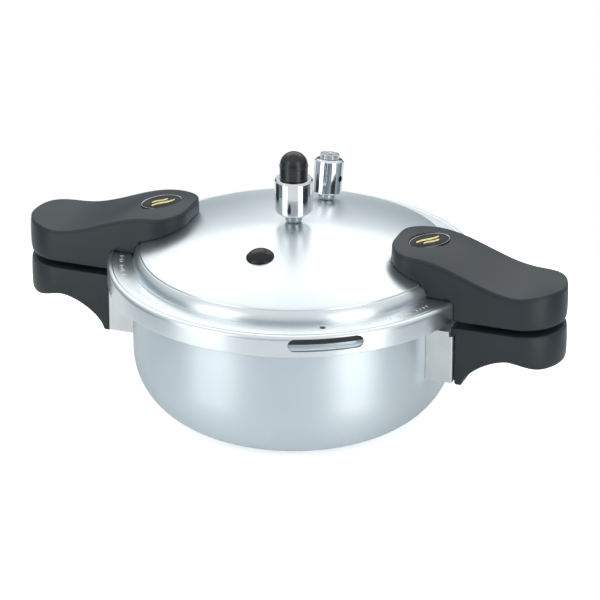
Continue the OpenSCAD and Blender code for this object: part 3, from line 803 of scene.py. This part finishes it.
def makeLedgeMarks(shape):
    # rows of plain stamped bars on the flat ledge
    verts, faces, count = [], [], 0
    for start, end in shape["groups"]:
        angle = start
        while angle < end:
            length = shape["lengths"][count % len(shape["lengths"])]
            count, angle = count + 1, angle + shape["pitch"]
            if length == 0.0:
                continue
            turn, base = turned(angle), len(verts)
            for z, inset in ((-shape["root"], 0.0), (0.0, 0.0), (shape["rise"], shape["taper"])):
                halfLength, halfWidth = length / 2 - inset, shape["half"] - inset
                for sx, sy in ((-1, -1), (1, -1), (1, 1), (-1, 1)):
                    spot = Vector((shape["radius"] + sx * halfLength, sy * halfWidth, ledgeZ + z))
                    verts.append(turn @ spot)
            foot, ledge, top = [range(base + 4 * level, base + 4 * level + 4) for level in range(3)]
            faces += [foot[::-1], top] + band(foot, ledge) + band(ledge, top)
    return meshPiece("ledge_marks", verts, faces)


def makeDot(shape):
    # low round boss on the skirt
    outward = moved(skirtRadius, 0, ledgeZ - shape["dotDrop"]) @ turned(90, "Y")
    r, h = shape["dotRadius"], shape["dotRise"]
    path = [(0, -1.2), (r, -1.2), (r, h - 0.25), (r - 0.25, h - 0.05), (0, h)]
    return spin("skirt_dot", path, segments=24, place=turned(shape["dotAngle"]) @ outward)


finishPiece(makeLedgeMarks(markShape), "lid", "lid_aluminium", lidMetal)
finishPiece(makeDot(markShape), "lid", "lid_aluminium", chrome)


# brackets
bracketShape = {"halfWidth": 32.0, "outer": 123.4, "sheet": 2.0, "bottom": -58.0, "top": -21.0, "gap": 0.1,
                "bend": 1.4, "innerBend": 0.4, "soft": 0.35}


def makeBracket(side):
    # one strip of sheet, bent round the box: wall flange, cheek, web, cheek, wall flange
    shape = bracketShape
    half, out, sheet, gap = shape["halfWidth"], shape["outer"], shape["sheet"], shape["gap"]
    low, high, wall = ledgeZ + shape["bottom"], ledgeZ + shape["top"], panShape["wallRadius"] + gap

    def loop(inset, bend):
        wallX = math.sqrt(wall ** 2 - (half - inset) ** 2)
        return filleted([(wallX, -half + inset, 0), (out - inset, -half + inset, bend),
                         (out - inset, half - inset, bend), (wallX, half - inset, 0)], 6)

    def flange(radius, halfWidth):
        endDeg = math.degrees(math.asin(halfWidth / radius))
        return arc(0, 0, radius, endDeg, -endDeg, 16)[1:-1]

    box = prism("bracket_sheet_" + side, loop(0.0, shape["bend"]) + flange(wall, half), low, high)
    hollow = [p for p in loop(sheet, shape["innerBend"]) if p[0] > wall + sheet + 0.4]
    cut(box, prism("bracketKnife", hollow + flange(wall + sheet, half - sheet), low - 2, high + 2))
    lip = out - panGripShape["lip"] - gap                # the grip's lip hooks over the sheet's top edge
    notch = [(lip, -half - 1), (out + 1, -half - 1), (out + 1, half + 1), (lip, half + 1)]
    cut(box, prism("lipKnife", notch, ledgeZ + panGripShape["lipBottom"] - gap, high + 1))
    soften = box.modifiers.new("edges", "BEVEL")
    soften.width, soften.segments, soften.limit_method = shape["soft"] * millimetre, 2, "ANGLE"
    soften.angle_limit = math.radians(50)
    applyAll(box)
    shadeSmooth(box, 35)
    evenNormals(box)
    turnPiece(box, side)
    return box


for side in ("left", "right"):
    finishPiece(makeBracket(side), "pan", "bracket_metal", bracketMetal, "pan_bracket_" + side)
print("brackets made")


# gasket
gasketShape = {"inner": 110.7, "slot": 7.0, "slotHalf": 0.7, "lip": 0.7, "corner": 1.2, "root": 0.5}


def makeGasket(shape):
    # ring with a slot open to the inside
    low, high = nodeBox("gasket")
    inner, outer, middle = shape["inner"], high.x, (low.z + high.z) / 2
    deep, half, root = inner + shape["slot"], shape["slotHalf"], shape["root"]
    path = filleted([(outer, middle, 0), (outer, high.z, shape["corner"]), (inner, high.z, shape["lip"]),
                     (inner, middle + half, root), (deep, middle + half, root), (deep, middle - half, root),
                     (inner, middle - half, root), (inner, low.z, shape["lip"]),
                     (outer, low.z, shape["corner"]), (outer, middle, 0)])
    return spin("gasket_ring", path, segments=256)


finishPiece(makeGasket(gasketShape), "gasket", "gasket_rubber", gasketRubber, "gasket")


# weight valve
weightShape = {"corner": 3.2, "chamfer": 1.4, "bore": 4.35, "boreDepth": 12.0, "land": 2.3, "dish": 0.5}
knobShape = {"radius": 9.5, "bore": 2.6, "boreDepth": 7.8, "ridge": 0.25}
# turned fittings: heights above the dome, rounds at the collar's top, the neck's top and the bore's top
ventShape = {"stud": 4.0, "studDepth": 12.0, "bore": 1.4, "foot": 4.4, "collar": 6.5, "collarTop": 5.8,
             "neck": 4.0, "neckTop": 17.2, "rounds": (0.2, 0.6, 0.3)}
valveBaseShape = {"stud": 4.0, "studDepth": 12.0, "bore": 2.6, "foot": 4.4, "collar": 6.1, "collarTop": 4.6,
                  "neck": 5.0, "neckTop": 8.6, "rounds": (0.1, 0.3, 0.2)}


def bowlPath(foot, radius, height, steps=14, lift=0.05):
    # bowl-shaped collar seen from the side, from its foot up
    return [(foot + (radius - foot) * math.sqrt(1 - (1 - i / steps) ** 2), lift + (height - lift) * i / steps)
            for i in range(steps + 1)]


def makeFitting(name, shape, place):
    # stud below the dome, bowl-shaped collar on it, neck above, and a bore through all three
    bore, stud, deep = shape["bore"], shape["stud"], -shape["studDepth"]
    collar, collarTop, neck, neckTop = [shape[k] for k in ("collar", "collarTop", "neck", "neckTop")]
    collarRound, neckRound, boreRound = shape["rounds"]
    path = filleted([(bore, deep, 0), (stud, deep, 0.5), (stud, 0, 0)])
    path += bowlPath(shape["foot"], collar, collarTop)
    path += filleted([(collar, collarTop, 0), (neck, collarTop, collarRound), (neck, neckTop, neckRound),
                      (bore, neckTop, boreRound), (bore, deep, 0)])[1:-1]
    return spin(name, path, segments=96, closed=True, place=place)


def makeWeight(shape):
    low, high = nodeBox("weight_body")
    radius, height, bore, deep = high.x, high.z - low.z, shape["bore"], shape["boreDepth"]
    face, land, dish = radius - shape["chamfer"] * 0.75, shape["land"], height - shape["dish"]
    corners = [(0, deep, 0), (bore, deep, 0.2), (bore, 0, 0.4), (radius, 0, shape["corner"]),
               (radius, height - shape["chamfer"], 0.25), (face, height, 0.3), (face - land, height, 0.2),
               (face - land - 0.3, dish, 0.1), (0, dish, 0)]
    return spin("weight_metal", filleted(corners, 6), segments=128, place=moved(0, 0, low.z))


def makeKnob(shape):
    # domed knob with a thin ridge where the dome starts
    low, high = nodeBox("weight_knob")
    radius, bore = shape["radius"], shape["bore"]
    ridge, proud = high.z - low.z - radius, radius + shape["ridge"]
    path = filleted([(0, shape["boreDepth"], 0), (bore, shape["boreDepth"], 0.1), (bore, 0, 0.1),
                     (radius - 0.1, 0, 0.35), (radius, ridge - 0.6, 0.1), (proud, ridge - 0.45, 0.1),
                     (proud, ridge - 0.1, 0.1), (radius, ridge, 0)])
    path += arc(0, ridge, radius, 1, 90, 24)
    return spin("knob_moulding", path, segments=128, place=moved(0, 0, low.z))


finishPiece(makeWeight(weightShape), "weight", "chrome_plate", chrome, "weight_body")
finishPiece(makeKnob(knobShape), "weight", "knob_black", glossBlack, "weight_knob")
# the vent pipe takes the darkened chrome: painted shade on its bowl
ventPipe = makeFitting("vent_pipe_turned", ventShape, ventPlace)
finishPiece(ventPipe, "lid", "chrome_plate", chromeDarkenedForShade, "vent_pipe")


# spring valve
valveShape = {"radius": 10.1, "height": 23.9, "chamfer": 1.3, "bore": 5.06, "room": 7.0, "mouth": 5.65,
              "mouthDepth": 4.5, "steamHole": 2.2, "steamAngle": -14.0, "steamHeight": 11.3}
valveFoot, spigotTop = valveBaseShape["collarTop"], valveBaseShape["neckTop"]


def makeHousing(shape):
    # tube with a wide room for the spring, a screwed mouth on top and two steam holes
    base, top, radius, bore = valveFoot, valveFoot + shape["height"], shape["radius"], shape["bore"]
    mouth, room, chamfer, roomTop = shape["mouth"], shape["room"], shape["chamfer"], top - shape["mouthDepth"]
    path = filleted([(bore, base, 0), (radius, base, 1.0), (radius, top - chamfer, 0.5),
                     (radius - chamfer, top, 0.5), (mouth, top, 0.2), (mouth, roomTop, 0.1),
                     (room, roomTop, 0.1), (room, spigotTop, 0.1), (bore, spigotTop, 0.1),
                     (bore, base, 0)], 5)[:-1]
    housing = spin("housing_turned", path, segments=128, closed=True)
    for side in (0, 180):
        swing = turned(shape["steamAngle"] - lidShape["valveAngle"] + side)
        lie = moved(0, 0, base + shape["steamHeight"]) @ turned(90, "Y")
        drill(housing, shape["steamHole"], 5, 14, swing @ lie)
    standOnDome(housing)
    shadeSmooth(housing, 40)
    evenNormals(housing)
    return housing


def standOnDome(piece):
    piece.data.transform(Matrix.Scale(millimetre, 4) @ valvePlace @ Matrix.Scale(1 / millimetre, 4))


springShape = {"radius": 4.2, "wire": 0.6, "length": 12.4, "turns": 6, "sides": 12, "stepsPerTurn": 32,
               "base": 2.55, "squeezed": 0.81}


def makeSpring(shape):
    # round wire along a helix, built at one fixed length
    base = spigotTop + shape["base"]
    sides, count = shape["sides"], shape["turns"] * shape["stepsPerTurn"]
    verts, faces = [], [list(range(sides))[::-1], [count * sides + k for k in range(sides)]]
    for i in range(count + 1):
        angle = 2 * math.pi * shape["turns"] * i / count
        for k in range(sides):
            around = 2 * math.pi * k / sides
            r = shape["radius"] + shape["wire"] * math.cos(around)
            z = base + shape["length"] * i / count + shape["wire"] * math.sin(around)
            verts.append(valvePlace @ Vector((r * math.cos(angle), r * math.sin(angle), z)))
    for i in range(count):
        for k in range(sides):
            low, after = i * sides, (k + 1) % sides
            faces.append([low + k, low + sides + k, low + sides + after, low + after])
    spring = meshPiece("spring_wire", verts, faces, 60)
    evenNormals(spring)
    finishPiece(spring, "lid", "screw_steel", steel, "valve_spring")
    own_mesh(spring)


makeSpring(springShape)

capShape = {"radius": 6.65, "height": 3.9, "teeth": 28, "toothDepth": 0.35, "chamfer": 0.7, "rim": 1.5,
            "sink": 0.5, "screw": 5.5, "cuts": 2, "cutPitch": 3.0, "cutWidth": 0.9, "cutDepth": 0.6}


def makeCap(shape):
    # turned cap with a toothed rim, a sunk face and crossed cuts in it
    base = valveFoot + valveShape["height"]
    top, radius, inner = base + shape["height"], shape["radius"], shape["radius"] - shape["rim"]
    path = filleted([(0, base - 4, 0), (shape["screw"], base - 4, 0.3), (shape["screw"], base + 0.05, 0),
                     (radius, base + 0.05, 0.3), (radius, top - shape["chamfer"], 0.2),
                     (radius - shape["chamfer"], top, 0.2), (inner, top, 0.3),
                     (inner, top - shape["sink"], 0.1), (0, top - shape["sink"], 0)], 3)

    def teeth(index, angle):
        radiusHere, height = path[index]
        onRim = radiusHere > shape["screw"] + 0.4 and height < top - 0.02
        return -shape["toothDepth"] if onRim and math.sin(shape["teeth"] * angle) < -0.2 else 0.0

    cap = spin("cap_cut", path, segments=shape["teeth"] * 8, bulge=teeth)
    for turnDeg in (20, 110):
        for k in range(shape["cuts"]):
            y = (k - (shape["cuts"] - 1) / 2) * shape["cutPitch"]
            reach, half = math.sqrt((inner - 0.4) ** 2 - y ** 2), shape["cutWidth"] / 2
            groove = [(-reach, y - half), (reach, y - half), (reach, y + half), (-reach, y + half)]
            low = top - shape["sink"] - shape["cutDepth"]
            cut(cap, prism("grooveKnife", groove, low, top + 1, turned(turnDeg)))
    standOnDome(cap)
    shadeSmooth(cap, 30)
    return cap


finishPiece(makeHousing(valveShape), "lid", "chrome_plate", chrome, "valve_housing")
# the valve base takes the darkened chrome: painted shade on its bowl
valveBase = makeFitting("valve_base_turned", valveBaseShape, valvePlace)
finishPiece(valveBase, "lid", "chrome_plate", chromeDarkenedForShade, "valve_base")
finishPiece(makeCap(capShape), "lid", "cap_steel", capSteel, "valve_cap")
print("valves made")


# rubber plug
plugShape = {"domeRadius": 11.9, "height": 5.0, "edge": 0.45, "neck": 6.9, "bead": 8.6, "beadTop": -2.3,
             "beadBottom": -5.2}


def makePlug(shape):
    # domed head over the lid, neck through it and a bead that holds it from below
    dome, edge, bead, neck = shape["domeRadius"], shape["edge"], shape["bead"], shape["neck"]
    beadTop, beadBottom, centre = shape["beadTop"], shape["beadBottom"], shape["height"] - dome
    edgeDeg = math.degrees(math.asin((edge - centre) / dome))
    head = arc(0, centre, dome, edgeDeg, 90, 28)
    headRadius = head[0][0]
    path = filleted([(0, beadBottom, 0), (bead, beadBottom, 0.6), (bead, beadTop, 0.6), (neck, beadTop, 0.2),
                     (neck, 0.1, 0.1), (headRadius + 0.1, 0.1, 0.15), (headRadius, edge, 0)])[:-1]
    return spin("plug_moulding", path + head, segments=96, place=plugPlace)


finishPiece(makePlug(plugShape), "lid", "plug_rubber", plugRubber, "safety_plug")


# CAD nodes that show as they are
cadLooks = {
    "pan_bracket_rivets": rivetMetal, "lid_bracket_rivets": rivetMetal, "lid_bracket_left": bracketMetal,
    "lid_bracket_right": bracketMetal, "pan_grip_screws": steel, "lid_grip_screws": steel,
    "vent_washer": gasketRubber, "vent_nut": steel, "weight_needle": steel, "weight_stud": steel,
    "valve_washer": gasketRubber, "valve_nut": steel, "valve_plunger": steel,
}
for nodeName, look in cadLooks.items():
    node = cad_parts[nodeName]
    if not node.material_slots:
        node.data.materials.append(look)
    for materialSlot in node.material_slots:
        materialSlot.material = look
print("CAD nodes dressed:", len(cadLooks))


# camera, floor and light
cameraShape = {"azimuth": 20.36, "elevation": 24.24, "distance": 2.4, "lens": 212.2, "sensor": 36.0,
               "aim": (0.0039, 0.0014, 0.0773)}


def aimAt(thing, back, distance, target):
    thing.location = Vector(target) + back * distance
    thing.rotation_euler = (-back).to_track_quat("-Z", "Y").to_euler()


def direction(azimuthDeg, elevationDeg):
    a, e = math.radians(azimuthDeg), math.radians(elevationDeg)
    return Vector((math.sin(a) * math.cos(e), -math.cos(a) * math.cos(e), math.sin(e)))


def makeCamera(shape):
    data = bpy.data.cameras.new("camera")
    data.lens, data.sensor_width = shape["lens"], shape["sensor"]
    data.clip_start, data.clip_end = 0.1, 50
    camera = bpy.data.objects.new("camera", data)
    bpy.context.scene.collection.objects.link(camera)
    aimAt(camera, direction(shape["azimuth"], shape["elevation"]), shape["distance"], shape["aim"])
    bpy.context.scene.camera = camera


makeCamera(cameraShape)

floorShape = {"radius": 340.0, "drop": 0.05, "sides": 96, "dull": (0.8865,) * 3, "pale": (0.90,) * 3,
              "lift": 0.62}


def makeFloor(shape):
    outline = oval(shape["radius"], shape["radius"], shape["sides"])
    floor = meshPiece("studio_floor", [(x, y, -shape["drop"]) for x, y in outline], [range(shape["sides"])])
    material, tree, shader = blankMaterial("paleFloor")
    shade = noise(tree, objectCoordinates(tree), 3.0, 2)
    tone = colourRamp(tree, shade, [(0.3, shape["dull"]), (0.7, shape["pale"])])
    link(tree, tone, shader.inputs["Base Color"])
    shader.inputs["Roughness"].default_value = 0.9
    shader.inputs["Emission Color"].default_value = (1, 1, 1, 1)
    # lifted to white where it is seen directly, plain grey in reflections
    seen = tree.nodes.new("ShaderNodeLightPath").outputs["Is Camera Ray"]
    link(tree, mathNode(tree, "MULTIPLY", seen, shape["lift"]), shader.inputs["Emission Strength"])
    floor.data.materials.append(material)


makeFloor(floorShape)

lightTint, lightTarget = (1.0, 0.985, 0.95), (0, 0, 0.08)
lights = {
    "frontLeft": {"azimuth": -35, "elevation": 6, "distance": 1.7, "size": (1.0, 2.6), "power": 10.6},
    "frontRight": {"azimuth": 61, "elevation": 6, "distance": 1.7, "size": (0.8, 2.6), "power": 11.8},
    "behind": {"azimuth": 198, "elevation": 45, "distance": 1.9, "size": (2.6, 1.3), "power": 10.0},
}


def makeLight(name, shape):
    data = bpy.data.lights.new(name, "AREA")
    data.shape, data.size, data.size_y = "RECTANGLE", *shape["size"]
    data.energy, data.color = shape["power"], lightTint
    light = bpy.data.objects.new(name, data)
    bpy.context.scene.collection.objects.link(light)
    aimAt(light, direction(shape["azimuth"], shape["elevation"]), shape["distance"], lightTarget)


for lightName, lightShape in lights.items():
    makeLight(lightName, lightShape)

roomShape = {
    # colours from the ground up to the ceiling, each with its place between straight down, 0, and up, 1
    "bands": [(0.40, (0.78, 0.82, 0.83)), (0.5, (0.02, 0.07, 0.12)), (0.66, (0.60, 0.64, 0.665)),
              (0.9, (0.84, 0.86, 0.86))],
    "sides": (0.16, 0.22, 0.27), "sideStart": 0.78, "sideEnd": 0.87,
    "fadeStart": -0.3, "fadeEnd": 0.0, "backdrop": (1.0, 1.0, 1.0)}


def makeRoom(shape):
    # a soft grey room with dark side walls; the backdrop that shows behind the object is white
    world = bpy.data.worlds.new("studio")
    bpy.context.scene.world = world
    world.use_nodes = True
    tree = world.node_tree
    background = tree.nodes["Background"]
    place = tree.nodes.new("ShaderNodeTexCoord")
    split = tree.nodes.new("ShaderNodeSeparateXYZ")
    link(tree, place.outputs["Generated"], split.inputs[0])
    room = colourRamp(tree, spread(tree, split.outputs["Z"], 0.0, 1.0, -1.0), shape["bands"])
    aside = tree.nodes.new("ShaderNodeVectorMath")
    aside.operation = "DOT_PRODUCT"
    aside.inputs[1].default_value = direction(cameraShape["azimuth"] + 90, 0)
    link(tree, place.outputs["Generated"], aside.inputs[0])
    away = mathNode(tree, "ABSOLUTE", aside.outputs["Value"])
    wall = spread(tree, away, 0.0, 1.0, shape["sideStart"], shape["sideEnd"])
    wall.node.interpolation_type = "SMOOTHSTEP"
    low = spread(tree, split.outputs["Z"], 1.0, 0.0, shape["fadeStart"], shape["fadeEnd"])
    dressed = mixColour(tree, mathNode(tree, "MULTIPLY", wall, low), room, shape["sides"])
    seen = tree.nodes.new("ShaderNodeLightPath").outputs["Is Camera Ray"]
    shown = mixColour(tree, seen, dressed, shape["backdrop"])
    link(tree, shown, background.inputs["Color"])


makeRoom(roomShape)
bpy.context.scene.view_settings.view_transform = "Standard"
print("studio made")
